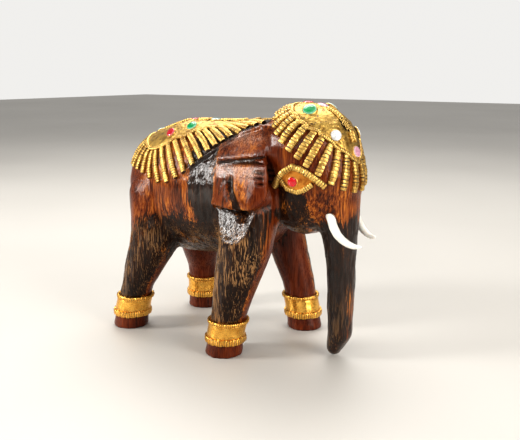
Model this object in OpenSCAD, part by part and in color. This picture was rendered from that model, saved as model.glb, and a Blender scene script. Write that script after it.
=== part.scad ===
// Carved wooden elephant figurine with moulded gold trim, glass stones, gold anklets and two tusks.
// Millimetres. +X is forwards (the head), +Y is the animal's left, +Z is up. The soles stand on Z = 0.

/* [Body] */
// Half of the barrel's width at the ribs
barrel_half_w = 30; // [28:0.5:31]
// Height of the back above the ground
back_h = 117.5; // [116:0.5:119]
// Half of the head's width at the temples
head_half_w = 25; // [24:0.5:26]
// Height of the crown above the ground
crown_h = 128.5; // [127:0.5:130]
// Radius of each foot
foot_r = 10; // [9.5:0.25:10.5]
// Radius of each ankle, under the gold band
ankle_r = 9; // [8.6:0.1:9.6]
// Distance from the middle to the centre of each sole
stance_half_w = 29; // [28:0.5:30]

/* [Gold trim] */
// Height of the flat gold plates above the wood
plate_t = 0.9; // [0.6:0.1:1.2]
// Height of the cords round the plates above the wood
edge_t = 1.6; // [1.3:0.1:2]
// Radius of a fringe bar
bar_r = 1.35; // [1.1:0.05:1.5]
// Fringe bars on each side of the saddle
saddle_bars = 21; // [16:1:22]
// Fringe bars all round the headdress
headdress_bars = 28; // [20:2:30]
// Radius of the cords round the eyes
eye_cord_r = 1.2; // [0.9:0.1:1.4]

/* [Tusks] */
// Radius of a tusk where it leaves the wood
tusk_r = 2.2; // [1.8:0.1:2.5]
// How much higher the left tusk is set than the right one
left_tusk_lift = 2; // [0:0.5:3]
// Gap between a tusk and the wall of its socket
socket_gap = 0.1; // [0.05:0.05:0.2]

/* [Anklets] */
// Bottom of the lower cord above the ground
anklet_low = 7.6; // [6:0.2:9]
// Top of the upper cord above the ground
anklet_top = 19.6; // [18:0.2:22]
// Height of the lower cord
lower_cord_h = 2.6; // [2:0.2:3]
// Height of the upper cord
upper_cord_h = 1.8; // [1.4:0.2:2.4]
// Thickness of the gold band
band_t = 0.8; // [0.5:0.1:1]
// Thickness of the ribbed cords
cord_t = 1.4; // [1.1:0.1:1.6]

/* [Hidden] */

body_fn = 24;
trim_fn = 6;
stone_fn = 40;
gold = [0.83, 0.64, 0.22];
far = 200;
upward = [0, 0, 1];
// Middle of the length from the tail to the tusk tips, where the origin is
middle_x = 19.9;

// ---- The carved block: chains of [centre, half sizes] ellipsoids along the torso, head and trunk ----

torso_line = [
    [[-33, 0, 80], [22, 24, 31]],
    [[-12, 0, back_h - 37], [28, barrel_half_w - 1, 37]],
    [[22, 0, back_h - 35], [30, barrel_half_w, 35.5]],
    [[44, 0, 95], [20, 24, 26]]];
head_line = [
    [[61, 0, crown_h - 22], [25.8, head_half_w, 22]],
    [[67.5, 0, 93], [23, head_half_w - 1, 26]],
    [[62, 0, 80], [16, 21, 17]]];
trunk_line = [
    [[77, 0, 84], [12.5, 16, 16]],
    [[80.5, 0, 68], [9.3, 10, 10.5]],
    [[81.6, 0, 50], [7.3, 8, 8]],
    [[82, 0, 30], [7, 7.3, 7]],
    [[82, 0, 14], [6.5, 6.8, 6]],
    [[79, 0, 5], [4, 5, 4]]];
tail_line = [
    [[-46, 0, 99], [5, 3.5, 4]],
    [[-54, 0, 82], [3, 2.2, 4]],
    [[-53.5, 0, 62], [2.8, 2, 4]],
    [[-50, 0, 47], [3.2, 2.8, 5]]];

// Legs as [x, share of the stance's half width, radius, height] from the sole to the shoulder or hip.
front_right_leg = [[29, 1, foot_r, 0], [31, 1, ankle_r, 14], [34, 1, 9.8, 28], [41, 0.88, 14.2, 60],
                   [40, 0.69, 17, 82]];
front_left_leg = [[43, 1, foot_r, 0], [41, 1, ankle_r, 14], [38, 1, 9.3, 28], [30, 0.9, 11.5, 56],
                  [32, 0.69, 15, 82]];
rear_right_leg = [[-42, 0.91, foot_r, 0], [-39, 0.91, ankle_r, 14], [-34.5, 0.91, 9, 28],
                  [-26, 0.65, 14.5, 56], [-29, 0.41, 18, 76]];
rear_left_leg = [[-30, 0.91, foot_r, 0], [-30, 0.91, ankle_r, 14], [-30, 0.91, 10, 28],
                 [-28, 0.65, 15, 56], [-29, 0.41, 18, 76]];

// Ears: an upper flap that folds back from the neck, and the hanging panel below it.
ear_upper = [[27, 27, 105], [38, 21.5, 114], [50, 19.5, 118], [53, 27, 105], [28, 29.5, 101.5]];
ear_lower = [[27, 29.5, 98], [55.5, 29, 101], [56, 31, 86], [50, 34, 80], [26, 32, 79]];
ear_edge_r = 2;

module blob(p, r, g = 0) {
    translate(p) scale([r[0] + g, r[1] + g, r[2] + g]) sphere(1, $fn = body_fn);
}

module chain(line, g = 0) {
    for (i = [0 : len(line) - 2])
        hull() {
            blob(line[i][0], line[i][1], g);
            blob(line[i + 1][0], line[i + 1][1], g);
        }
}

module above(z) {
    translate([-far, -far, z]) cube([2 * far, 2 * far, far]);
}

// A leg grown outwards by g, and cut off level at the sole. side is -1 on the right, 1 on the left.
module leg(line, side, g = 0) {
    intersection() {
        for (i = [0 : len(line) - 2])
            hull()
                for (ball = [line[i], line[i + 1]])
                    translate([ball[0], side * stance_half_w * ball[1], ball[3]])
                        sphere(ball[2] + g, $fn = body_fn);
        above(0);
    }
}

module ear(side) {
    for (panel = [ear_upper, ear_lower])
        hull()
            for (p = panel)
                translate([p[0], side * p[1], p[2]]) sphere(ear_edge_r, $fn = 8);
}

module wood() {
    chain(torso_line);
    chain(head_line);
    chain(trunk_line);
    chain(tail_line);
    for (side = [-1, 1]) ear(side);
    leg(front_right_leg, -1);
    leg(front_left_leg, 1);
    leg(rear_right_leg, -1);
    leg(rear_left_leg, 1);
}

module carved_body() {
    color("saddlebrown")
        difference() {
            wood();
            for (side = [-1, 1]) tusk_shape(side, socket_gap);
        }
}

// ---- Points on the wood: the last place where a ray from o along d leaves a chain of ellipsoids ----

function unit(v) = v / norm(v);
function mix(a, b, t) = a * (1 - t) + b * t;
function scaled(a, b) = [a[0] / b[0], a[1] / b[1], a[2] / b[2]];
function leave(o, d, c, r) =
    let (u = scaled(o - c, r), v = scaled(d, r), k = u * v, s = k * k - (v * v) * (u * u - 1))
    s < 0 ? -far : (sqrt(s) - k) / (v * v);
function skin(line, o, d) =
    o + d * max([for (i = [0 : len(line) - 2]) for (t = [0 : 0.1 : 1])
        leave(o, d, mix(line[i][0], line[i + 1][0], t), mix(line[i][1], line[i + 1][1], t))]);
function skin_normal(line, o, d) =
    let (a = unit(cross(d, [1, 1, 1])), b = cross(d, a), p = skin(line, o, d),
         n = unit(cross(skin(line, o + a, d) - p, skin(line, o + b, d) - p)))
    n * d < 0 ? -n : n;

// A smooth curve through the points of a list, at t from 0 to 1 between points i and i + 1.
function bend(p, i, t) =
    let (n = len(p) - 1, a = p[max(i - 1, 0)], b = p[i], c = p[min(i + 1, n)], d = p[min(i + 2, n)])
    0.5 * (2 * b + (c - a) * t + (2 * a - 5 * b + 4 * c - d) * t * t + (3 * b - a - 3 * c + d) * t * t * t);

// A cord of radius r through points on the wood.
module cord(points, r) {
    for (i = [0 : len(points) - 2])
        hull()
            for (p = [points[i], points[i + 1]]) translate(p) sphere(r, $fn = trim_fn);
}

// ---- Stones: round glass with a domed top, standing on the wood in a seat in the plate ----

stone_side = 0.9;
stone_dome = 0.42;

module seat(p, n) {
    translate(p) rotate([0, acos(n[2]), atan2(n[1], n[0])]) children();
}

module cabochon(r) {
    dome = r * stone_dome;
    ball = (r * r + dome * dome) / (2 * dome);
    intersection() {
        translate([0, 0, stone_side + dome - ball]) sphere(ball, $fn = stone_fn);
        cylinder(2 * ball, r, r, $fn = stone_fn);
    }
}

// ---- Saddle: an egg-shaped plate on the back, with a cord round it and a fringe all round ----

edge_w = 0.8;
saddle_floor = 70;
saddle_rear = [-20, 21.5];
saddle_front = [29, 3];
torso_heart = [-8, 0, 78];
// The hem of the fringe on the left, in equal shares of the way from the neck to the middle of the rump.
saddle_hem = [[37, 7, 116], [31, 12, 116], [23, 19, 111], [15.5, 25, 104], [3, 28, 94],
              [-13, 28.5, 87], [-32, 23.5, 91], [-45, 16, 93], [-54, 0.5, 94]];

// Each stone: [place on the plan, radius, colour]
saddle_stones = [
    [[-5, -11], 2.7, "mediumseagreen"],
    [[-5, 11], 2.7, "mediumseagreen"],
    [[-16, -15.5], 2.5, "crimson"],
    [[-16, 15.5], 2.5, "crimson"],
    [[-37, 0], 2.7, "aquamarine"],
    [[2.5, 0], 2.7, "aquamarine"],
    [[-12, 0], 2.2, "crimson"]];

// The plait along the middle: runs of slanted grains between the stones.
plait_runs = [[-32, -17], [-8, -2], [7.5, 23]];
plait_step = 3;
plait_half_w = 1.7;
plait_slant = 35;
grain_size = [1.9, 1, 1];

module saddle_outline(grow = 0) {
    hull() {
        translate([saddle_rear[0], 0]) circle(saddle_rear[1] + grow, $fn = 48);
        translate([saddle_front[0], 0]) circle(saddle_front[1] + grow, $fn = 16);
    }
}

// The outline's point a share u of the way from its front end to its rear end, on the left side.
straight = 0.52;
lean = acos((saddle_rear[1] - saddle_front[1]) / (saddle_front[0] - saddle_rear[0]));
function saddle_rim(u) =
    let (w = min(u / straight, 1), a = lean + (180 - lean) * max(0, (u - straight) / (1 - straight)),
         end = mix(saddle_front, saddle_rear, w))
    [end[0] + end[1] * cos(a), end[1] * sin(a), saddle_floor];

// The torso grown by t, inside the outline.
module saddle_solid(t, grow = 0) {
    intersection() {
        chain(torso_line, t);
        translate([0, 0, saddle_floor]) linear_extrude(far) saddle_outline(grow);
    }
}

module at_saddle(place) {
    o = [place[0], place[1], saddle_floor];
    seat(skin(torso_line, o, upward), skin_normal(torso_line, o, upward)) children();
}

module saddle_stone(i) {
    color(saddle_stones[i][2]) at_saddle(saddle_stones[i][0]) cabochon(saddle_stones[i][1]);
}

module saddle_plate() {
    color(gold)
        difference() {
            saddle_solid(plate_t, -edge_w);
            wood();
            for (s = saddle_stones) at_saddle(s[0]) cabochon(s[1]);
        }
}

module saddle_edge_cord() {
    color(gold)
        difference() {
            saddle_solid(edge_t, edge_w);
            translate([0, 0, saddle_floor]) linear_extrude(far) saddle_outline(-edge_w);
            wood();
        }
}

module saddle_braid() {
    color(gold)
        difference() {
            for (run = plait_runs)
                for (x = [run[0] : plait_step : run[1]])
                    for (side = [-1, 1])
                        translate(skin(torso_line, [x, side * plait_half_w, saddle_floor], upward))
                            translate([0, 0, plate_t]) rotate(side * plait_slant)
                                scale(grain_size) sphere(1, $fn = trim_fn);
            saddle_solid(plate_t);
            wood();
        }
}

function saddle_bar(u, side) =
    let (top = skin(torso_line, saddle_rim(u), upward), span = len(saddle_hem) - 1,
         hem = bend(saddle_hem, floor(u * span), u * span - floor(u * span)))
    [for (t = [0 : 0.5 : 1])
        let (p = skin(torso_line, torso_heart, mix(top, hem, t) - torso_heart)) [p[0], side * p[1], p[2]]];

// Separate bars that start at the plate's cord and lie on the wood, on one side.
module saddle_fringe(side) {
    color(gold)
        difference() {
            for (i = [0 : saddle_bars - 1]) cord(saddle_bar((i + 0.5) / saddle_bars, side), bar_r);
            wood();
            saddle_solid(2 * edge_t, edge_w);
        }
}

// ---- Headdress: a plate over the crown and forehead, laid out square to a tilted axis ----

head_heart = [60, 0, 100];
head_tilt = 40;
plate_half_w = 18.2;
plate_back = -4;
plate_len = 26.5;
// Height of the fringe's hem along the tilted axis, and how far it rises towards the nape
hem_height = 10.5;
nape_lift = 7;
nape_from = 120;
// How far the bars lean, in degrees round the plate
sweep = 8;

// Each stone: [place along and across the plate, radius, colour]
headdress_stones = [
    [[-10.3, -10.1], 2.8, "seagreen"],
    [[-10.3, 10.1], 2.8, "aquamarine"],
    [[7.7, -10.4], 2.3, "white"],
    [[7.7, 10.4], 2.3, "white"],
    [[-17.5, 0], 2.2, "crimson"],
    [[-10.5, 0], 2.3, "lightpink"],
    [[17, 0], 2.3, "thistle"]];

// The flower on the forehead: petals round a button
flower_at = [4.5, 0];
petals = 8;
petal_ring_r = 3.2;
petal_size = [1.9, 0.9, 0.9];
button_r = 1.3;

// A point from its distances along, across and above the plate.
function tilted(along, across, up) =
    head_heart + [along * cos(head_tilt) + up * sin(head_tilt), across,
                  up * cos(head_tilt) - along * sin(head_tilt)];
plate_up = tilted(0, 0, 1) - head_heart;

// The outline: a half circle behind, and a parabola that closes to a point on the brow.
headdress_points = concat(
    [for (a = [90 : 9 : 270]) [plate_back + plate_half_w * cos(a), plate_half_w * sin(a)]],
    [for (t = [-0.9 : 0.1 : 0.95]) [plate_back + plate_len * sqrt(1 - abs(t)), plate_half_w * t]]);

// Distance from the half circle's centre to the outline in the direction phi.
function headdress_reach(phi) =
    let (c = cos(phi), s = sin(phi), k = pow(plate_half_w * c / plate_len, 2))
    c < 0.01 ? plate_half_w : (sqrt(s * s + 4 * k) - s) * plate_half_w / (2 * k);

module headdress_prism(grow = 0) {
    translate(head_heart)
        rotate([0, head_tilt, 0])
            linear_extrude(far) offset(delta = grow) polygon(headdress_points);
}

module headdress_solid(t, grow = 0) {
    intersection() {
        chain(head_line, t);
        headdress_prism(grow);
    }
}

module at_head(place) {
    o = tilted(place[0], place[1], 0);
    seat(skin(head_line, o, plate_up), skin_normal(head_line, o, plate_up)) children();
}

module headdress_stone(i) {
    color(headdress_stones[i][2]) at_head(headdress_stones[i][0]) cabochon(headdress_stones[i][1]);
}

module headdress_plate() {
    color(gold)
        difference() {
            headdress_solid(plate_t, -edge_w);
            wood();
            for (s = headdress_stones) at_head(s[0]) cabochon(s[1]);
        }
}

module headdress_edge_cord() {
    color(gold)
        difference() {
            headdress_solid(edge_t, edge_w);
            headdress_prism(-edge_w);
            wood();
        }
}

module headdress_flower() {
    color(gold)
        difference() {
            at_head(flower_at)
                translate([0, 0, plate_t]) {
                    for (i = [0 : petals - 1])
                        rotate(i * 360 / petals) translate([petal_ring_r, 0, 0])
                            scale(petal_size) sphere(1, $fn = trim_fn);
                    sphere(button_r, $fn = trim_fn);
                }
            headdress_solid(plate_t);
            wood();
        }
}

// The farther of the head and the neck along a ray.
function head_or_neck(o, d) =
    let (a = skin(head_line, o, d), b = skin(torso_line, o, d)) (b - a) * d > 0 ? b : a;

// Points along one bar, which leaves the plate at about phi and ends on the hem at phi.
function headdress_bar(phi, side) =
    let (turned = phi + sweep * sin(max(0, phi - 45) * 4 / 3), reach = headdress_reach(turned),
         top = head_or_neck(tilted(plate_back + reach * cos(turned), reach * sin(turned), 0), plate_up),
         level = tilted(plate_back, 0, hem_height + nape_lift * max(0, phi / nape_from - 1)),
         hem = head_or_neck(level, tilted(cos(phi), sin(phi), 0) - head_heart))
    [for (t = [0 : 0.5 : 1])
        let (p = head_or_neck(head_heart, mix(top, hem, t) - head_heart)) [p[0], side * p[1], p[2]]];

module headdress_fringe(side) {
    color(gold)
        difference() {
            for (i = [0 : headdress_bars / 2 - 1])
                cord(headdress_bar((i + 0.5) * 360 / headdress_bars, side), bar_r);
            wood();
            headdress_solid(2 * edge_t, edge_w);
        }
}

// ---- Eyes: an almond plate with a red stone, a long cord over it and a short one under it ----

eye_stone_at = [68, 93.4];
eye_stone_r = 2;
// Points of the cords as [x, z], laid on the cheek from the side.
brow_path = [[55.5, 89.5], [60.5, 95.6], [67.5, 100.4], [74, 98.4], [79, 94.2], [84, 89.6]];
lid_path = [[61.5, 93.4], [65, 89.9], [70, 88.8], [75, 90.8], [78, 94]];

almond = [[60.5, 95.6], [67.5, 100.4], [74, 98.4], [79, 94.2], [75, 90.8], [70, 88.8], [65, 89.9]];

function on_cheek(p, side) =
    let (q = skin(head_line, [p[0], 0, p[1]], [0, 1, 0])) [q[0], side * q[1], q[2]];

module eye_cord(path, side) {
    cord([for (i = [0 : len(path) - 2]) for (t = [0, 0.5]) on_cheek(bend(path, i, t), side)], eye_cord_r);
}

module at_cheek(side) {
    o = [eye_stone_at[0], 0, eye_stone_at[1]];
    seat(skin(head_line, o, [0, side, 0]), skin_normal(head_line, o, [0, side, 0])) children();
}

module eye_stone(side) {
    color("red") at_cheek(side) cabochon(eye_stone_r);
}

module eye_brow_cord(side) {
    color(gold)
        difference() {
            eye_cord(brow_path, side);
            wood();
        }
}

module eye_lower_cord(side) {
    color(gold)
        difference() {
            eye_cord(lid_path, side);
            wood();
            eye_cord(brow_path, side);
        }
}

module eye_plate(side) {
    color("goldenrod")
        difference() {
            intersection() {
                chain(head_line, plate_t);
                rotate([side * -90, 0, 0])
                    linear_extrude(far)
                        polygon([for (p = almond) [p[0], side * -p[1]]]);
            }
            wood();
            eye_cord(brow_path, side);
            eye_cord(lid_path, side);
            at_cheek(side) cabochon(eye_stone_r);
        }
}

// ---- Tusks: separate pegs that curve down, forwards and a little inwards from their sockets ----

// Centres on the left side with the share of the full radius there, from the hidden foot to the tip.
tusk_line = [[[78, 10.5, 80], 1], [[81.5, 11.3, 75.5], 1], [[83.2, 11.5, 71], 1], [[85.2, 11.2, 67.5], 0.95],
             [[87.8, 10.4, 64.8], 0.88], [[90.4, 9.5, 63.1], 0.78], [[92.7, 8.7, 62.2], 0.65],
             [[94.6, 8, 62], 0.5], [[96, 7.6, 62.2], 0.35]];

module tusk_shape(side, grow = 0) {
    for (i = [0 : len(tusk_line) - 2])
        hull()
            for (b = [tusk_line[i], tusk_line[i + 1]])
                translate([b[0][0], side * b[0][1], b[0][2] + max(side, 0) * left_tusk_lift])
                    sphere(tusk_r * b[1] + grow, $fn = 14);
}

module tusk(side) {
    color("ivory") tusk_shape(side);
}

// ---- Anklets: a gold band with a ribbed cord above and below it, round each leg ----

module anklet_ring(line, side, low, high, t) {
    color(gold)
        difference() {
            intersection() {
                leg(line, side, t);
                translate([-far, -far, low]) cube([2 * far, 2 * far, high - low]);
            }
            leg(line, side);
        }
}

module anklet_band(line, side) {
    anklet_ring(line, side, anklet_low + lower_cord_h, anklet_top - upper_cord_h, band_t);
}

module anklet_upper_cord(line, side) {
    anklet_ring(line, side, anklet_top - upper_cord_h, anklet_top, cord_t);
}

module anklet_lower_cord(line, side) {
    anklet_ring(line, side, anklet_low, anklet_low + lower_cord_h, cord_t);
}

module placed() {
    translate([-middle_x, 0, 0]) children();
}

placed() carved_body();
placed() tusk(-1);  // tusk_right
placed() tusk(1);  // tusk_left
placed() saddle_plate();
placed() saddle_edge_cord();
placed() saddle_braid();
placed() saddle_fringe(-1);  // saddle_fringe_right
placed() saddle_fringe(1);  // saddle_fringe_left
placed() saddle_stone(0);  // saddle_green_stone_right
placed() saddle_stone(1);  // saddle_green_stone_left
placed() saddle_stone(2);  // saddle_red_stone_right
placed() saddle_stone(3);  // saddle_red_stone_left
placed() saddle_stone(4);  // saddle_pale_stone_rear
placed() saddle_stone(5);  // saddle_pale_stone_front
placed() saddle_stone(6);  // saddle_red_stone_mid
placed() headdress_plate();
placed() headdress_edge_cord();
placed() headdress_flower();
placed() headdress_fringe(-1);  // headdress_fringe_right
placed() headdress_fringe(1);  // headdress_fringe_left
placed() headdress_stone(0);  // headdress_green_stone_right
placed() headdress_stone(1);  // headdress_pale_stone_left
placed() headdress_stone(2);  // headdress_white_stone_right
placed() headdress_stone(3);  // headdress_white_stone_left
placed() headdress_stone(4);  // headdress_red_stone_crown
placed() headdress_stone(5);  // headdress_pink_stone_top
placed() headdress_stone(6);  // headdress_lilac_stone_brow
placed() eye_plate(-1);  // eye_plate_right
placed() eye_plate(1);  // eye_plate_left
placed() eye_brow_cord(-1);  // eye_brow_cord_right
placed() eye_brow_cord(1);  // eye_brow_cord_left
placed() eye_lower_cord(-1);  // eye_lower_cord_right
placed() eye_lower_cord(1);  // eye_lower_cord_left
placed() eye_stone(-1);  // eye_stone_right
placed() eye_stone(1);  // eye_stone_left
placed() anklet_band(front_right_leg, -1);  // front_right_anklet_band
placed() anklet_upper_cord(front_right_leg, -1);  // front_right_anklet_upper_cord
placed() anklet_lower_cord(front_right_leg, -1);  // front_right_anklet_lower_cord
placed() anklet_band(front_left_leg, 1);  // front_left_anklet_band
placed() anklet_upper_cord(front_left_leg, 1);  // front_left_anklet_upper_cord
placed() anklet_lower_cord(front_left_leg, 1);  // front_left_anklet_lower_cord
placed() anklet_band(rear_right_leg, -1);  // rear_right_anklet_band
placed() anklet_upper_cord(rear_right_leg, -1);  // rear_right_anklet_upper_cord
placed() anklet_lower_cord(rear_right_leg, -1);  // rear_right_anklet_lower_cord
placed() anklet_band(rear_left_leg, 1);  // rear_left_anklet_band
placed() anklet_upper_cord(rear_left_leg, 1);  // rear_left_anklet_upper_cord
placed() anklet_lower_cord(rear_left_leg, 1);  // rear_left_anklet_lower_cord
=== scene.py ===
# %% [markdown]
# # A carved and gilded wooden elephant
# The real figurine is cut from one block of wood. A maker roughs out the elephant, smooths
# the round parts, leaves the ears as flat knife cuts, burns and stains the surface, varnishes
# it, and then lays on gold paste, glass stones and two white tusks. This lesson makes the
# same pieces in the same order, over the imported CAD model, which holds every size and place.

import math

import bpy
import numpy as np
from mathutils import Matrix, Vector, noise
from mathutils.bvhtree import BVHTree


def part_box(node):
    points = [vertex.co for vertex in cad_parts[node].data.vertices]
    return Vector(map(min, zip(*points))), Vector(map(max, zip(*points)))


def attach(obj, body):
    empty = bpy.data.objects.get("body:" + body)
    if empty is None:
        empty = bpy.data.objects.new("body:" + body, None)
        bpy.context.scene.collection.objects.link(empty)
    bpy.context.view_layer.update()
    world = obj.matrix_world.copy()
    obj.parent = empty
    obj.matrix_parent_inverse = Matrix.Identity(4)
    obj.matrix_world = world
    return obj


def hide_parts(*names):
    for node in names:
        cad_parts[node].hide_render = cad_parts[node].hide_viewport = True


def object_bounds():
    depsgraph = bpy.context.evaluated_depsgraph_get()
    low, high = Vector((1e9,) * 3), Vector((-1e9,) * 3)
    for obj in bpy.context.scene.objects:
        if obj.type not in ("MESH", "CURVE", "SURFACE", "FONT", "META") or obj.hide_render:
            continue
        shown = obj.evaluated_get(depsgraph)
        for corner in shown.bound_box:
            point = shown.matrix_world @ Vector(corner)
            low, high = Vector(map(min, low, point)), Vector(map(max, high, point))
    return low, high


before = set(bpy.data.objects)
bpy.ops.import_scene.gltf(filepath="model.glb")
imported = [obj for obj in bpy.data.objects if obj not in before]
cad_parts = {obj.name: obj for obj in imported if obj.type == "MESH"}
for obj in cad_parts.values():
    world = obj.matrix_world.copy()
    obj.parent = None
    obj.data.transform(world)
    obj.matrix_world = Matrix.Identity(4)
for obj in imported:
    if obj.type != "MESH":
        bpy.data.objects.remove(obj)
cad_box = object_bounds()
scene = bpy.context.scene
MM = 0.001
rng = np.random.default_rng(11)
print("CAD box in mm:", [round(v / MM, 1) for p in cad_box for v in p])

# %% [markdown]
# ## Small helpers
# Every operator works on whatever is selected, so a piece is picked alone before each step.
# A copy of a CAD node is loose triangles at first: its doubles are merged before any
# modifier sees it, or a remesh would find holes in it.

# %% Pick, edit, copy and finish a piece
def pick(piece):
    """Selects one piece and nothing else."""
    bpy.ops.object.select_all(action="DESELECT")
    piece.select_set(True)
    bpy.context.view_layer.objects.active = piece


def edit(piece, *steps):
    """Runs operators in edit mode with the whole mesh selected."""
    pick(piece)
    bpy.ops.object.mode_set(mode="EDIT")
    bpy.ops.mesh.select_all(action="SELECT")
    for step in steps:
        step()
    bpy.ops.object.mode_set(mode="OBJECT")


def merge_doubles(gap=0.01 * MM):
    return lambda: bpy.ops.mesh.remove_doubles(threshold=gap)


def outwards():
    bpy.ops.mesh.normals_make_consistent(inside=False)


def modify(piece, kind, **settings):
    """Adds one modifier with these settings and applies it."""
    pick(piece)
    m = piece.modifiers.new(kind.lower(), kind)
    for key, value in settings.items():
        setattr(m, key, value)
    bpy.ops.object.modifier_apply(modifier=m.name)


def twin(master):
    """A copy of a piece, with a mesh of its own."""
    piece = master.copy()
    piece.data = master.data.copy()
    scene.collection.objects.link(piece)
    return piece


def copy_node(node_name, name):
    """A whole, merged copy of a CAD node's mesh, with no material."""
    piece = bpy.data.objects.new(name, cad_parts[node_name].data.copy())
    scene.collection.objects.link(piece)
    piece.data.materials.clear()
    edit(piece, merge_doubles())
    return piece


def in_mm(corners):
    return [np.array(p) / MM for p in corners]


def points(piece):
    """Where each vertex is, in mm."""
    co = np.empty(len(piece.data.vertices) * 3)
    piece.data.vertices.foreach_get("co", co)
    return co.reshape(-1, 3) / MM


def normals(piece):
    no = np.empty(len(piece.data.vertices) * 3)
    piece.data.vertex_normals.foreach_get("vector", no)
    return no.reshape(-1, 3)


def put_points(piece, co):
    piece.data.vertices.foreach_set("co", (co * MM).ravel())
    piece.data.update()


def paint(piece, name, values):
    """Stores one number per vertex, for a material to read."""
    a = piece.data.attributes.get(name) or piece.data.attributes.new(name, "FLOAT", "POINT")
    a.data.foreach_set("value", np.clip(values, 0, 1).astype(np.float32))


def finish(piece, material, slot, *replaced, angle=40):
    """Gives a piece its material and its body, and hides the CAD nodes it stands for. The slot is not
    used.
    """
    piece.data.materials.clear()
    piece.data.materials.append(material)
    pick(piece)
    bpy.ops.object.shade_smooth_by_angle(angle=math.radians(angle))
    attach(piece, "root")
    if replaced:
        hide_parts(*replaced)
    piece.data.calc_loop_triangles()
    print(f"{piece.name}: {len(piece.data.loop_triangles)} triangles")
    return piece


def ease(x, low, high):
    """0 below low, 1 above high, and a smooth step between."""
    t = np.clip((x - low) / (high - low), 0, 1)
    return t * t * (3 - 2 * t)


def between(x, rise, fall):
    """0, then a smooth step up over rise, and a smooth step down again over fall."""
    return ease(x, *rise) * (1 - ease(x, *fall))


def rough(co, scale, seed=0.0, octaves=2):
    """Smooth noise from -1 to 1 at each point. Scale is the feature size in mm on X, Y, Z."""
    s = 1 / np.array(scale)
    return np.array(
        [noise.fractal(Vector(p * s) + Vector((seed, seed, seed)), 1, 2, octaves) for p in co]
    )


# %% [markdown]
# ## The varnished wood
# On the real figure the wood is stained in three ways: amber where the stain is thin, cherry
# where it is smooth and red, and charred black with pale flecks where it was burnt and then
# brushed. One material holds all three and mixes them by numbers painted on the vertices.
# The same numbers also paint shade into the cuts and folds of the ears, and a pale bloom
# that is partly a painted highlight on the ears.
# The streaks are noise that is stretched along the height, as the block's grain runs. The
# varnish is a coat with ripples of its own. It is thickest on the shaved facets and on the
# rough wood behind the ears, so its weight is painted as well.

# %% Node helpers
NONE, FULL = (0, 0, 0), (1, 1, 1)


def new_material(name):
    """A material with only a Principled BSDF and its output."""
    m = bpy.data.materials.new(name)
    m.use_nodes = True
    t = m.node_tree
    t.nodes.clear()
    out = t.nodes.new("ShaderNodeOutputMaterial")
    bsdf = t.nodes.new("ShaderNodeBsdfPrincipled")
    t.links.new(bsdf.outputs[0], out.inputs[0])
    return m, t, bsdf


def node(tree, kind, **settings):
    """Adds a shader node. A setting is one of its properties or, if it has none so named, an input."""
    n = tree.nodes.new("ShaderNode" + kind)
    for key, value in settings.items():
        if hasattr(n, key):
            setattr(n, key, value)
        else:
            n.inputs[key.replace("_", " ").title()].default_value = value
    return n


def stretched(tree, scale, detail=3.0, roughness=0.6, turn=(0, 0, 0), lean=0.0):
    """Noise on Object coordinates, with its own scale on each axis, per metre."""
    coords = node(tree, "TexCoord").outputs["Object"]
    if lean:
        leaning = node(tree, "Mapping")
        leaning.inputs["Rotation"].default_value = (0, lean, 0)
        tree.links.new(coords, leaning.inputs["Vector"])
        coords = leaning.outputs[0]
    mapping = node(tree, "Mapping")
    mapping.inputs["Scale"].default_value = scale
    mapping.inputs["Rotation"].default_value = turn
    n = node(tree, "TexNoise", Scale=1.0, Detail=detail, Roughness=roughness)
    tree.links.new(coords, mapping.inputs["Vector"])
    tree.links.new(mapping.outputs[0], n.inputs["Vector"])
    return n.outputs["Fac"]


def ramp(tree, fac, stops):
    """A colour for each value of fac, from stops of (place, colour)."""
    r = node(tree, "ValToRGB")
    e = r.color_ramp.elements
    while len(e) < len(stops):
        e.new(0.5)
    for slot, (place, colour) in zip(e, stops):
        slot.position = place
        slot.color = (*colour, 1)
    tree.links.new(fac, r.inputs[0])
    return r.outputs[0]


def mix(tree, fac, a, b):
    """From colour a, at fac 0, to colour b, at fac 1."""
    m = node(tree, "Mix", data_type="RGBA")
    for value, socket in ((fac, m.inputs[0]), (a, m.inputs[6]), (b, m.inputs[7])):
        if isinstance(value, bpy.types.NodeSocket):
            tree.links.new(value, socket)
        else:
            socket.default_value = value if isinstance(value, (int, float)) else (*value, 1)
    return m.outputs[2]


def calc(tree, kind, a, b, clamp=False):
    m = node(tree, "Math", operation=kind, use_clamp=clamp)
    for value, socket in ((a, m.inputs[0]), (b, m.inputs[1])):
        if isinstance(value, bpy.types.NodeSocket):
            tree.links.new(value, socket)
        else:
            socket.default_value = value
    return m.outputs[0]


def grey_ramp(tree, fac, low, high):
    """A number that follows fac between two stops, each (place, value)."""
    return ramp(tree, fac, [(place, (value,) * 3) for place, value in (low, high)])


def add_bump(tree, height, socket, strength, depth):
    """Bump from a height into a normal socket. The depth is in mm."""
    bump = node(tree, "Bump", Strength=strength, Distance=depth * MM)
    tree.links.new(height, bump.inputs["Height"])
    tree.links.new(bump.outputs[0], socket)


def painted(tree, name):
    """A number that paint() stored on the vertices."""
    return node(tree, "Attribute", attribute_name=name).outputs["Fac"]


def new_group(name, ins, outs):
    g = bpy.data.node_groups.new(name, "ShaderNodeTree")
    for n, value in ins:
        s = g.interface.new_socket(name=n, in_out="INPUT", socket_type="NodeSocketFloat")
        s.default_value = value
    for n, kind in outs:
        g.interface.new_socket(name=n, in_out="OUTPUT", socket_type=kind)
    return g, g.nodes.new("NodeGroupInput"), g.nodes.new("NodeGroupOutput")


def use_group(tree, g, **values):
    n = tree.nodes.new("ShaderNodeGroup")
    n.node_tree = g
    for key, value in values.items():
        if isinstance(value, bpy.types.NodeSocket):
            tree.links.new(value, n.inputs[key])
        else:
            n.inputs[key].default_value = value
    return n


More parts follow.
